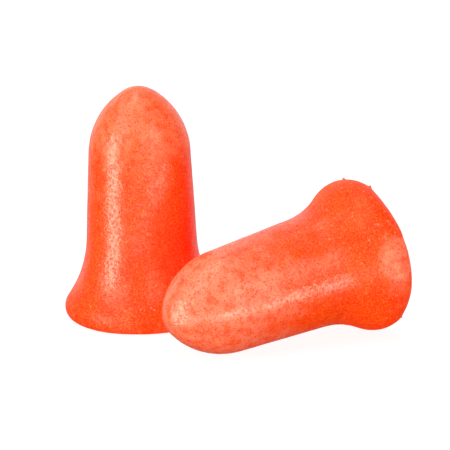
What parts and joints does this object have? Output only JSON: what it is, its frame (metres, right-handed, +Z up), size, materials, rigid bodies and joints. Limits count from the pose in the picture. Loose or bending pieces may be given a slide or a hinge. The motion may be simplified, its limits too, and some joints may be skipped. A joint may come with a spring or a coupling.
{
  "type": "foam ear plugs",
  "caption": "Pair of bell-shaped soft foam ear plugs with rounded ends and flared bases, one standing and one lying beside it.",
  "frame": {"origin": "centre of the standing plug's base face, on the surface that both plugs rest on", "axes": "+Z up, +X towards the lying plug, across the pair, and +Y to the back, away from the viewer"},
  "size_m": [0.0355, 0.0275, 0.0245],
  "materials": {
    "standing_foam": "satin",
    "lying_foam": "satin"
  },
  "bodies": {
    "standing": {"standing_plug": "standing_foam"},
    "lying": {"lying_plug": "lying_foam"}
  },
  "joints": [
    {"name": "lying_plug_lift", "type": "slide", "parent": "standing", "child": "lying", "axis": [0, 0, 1], "range_m": [0, 0.03]}
  ]
}
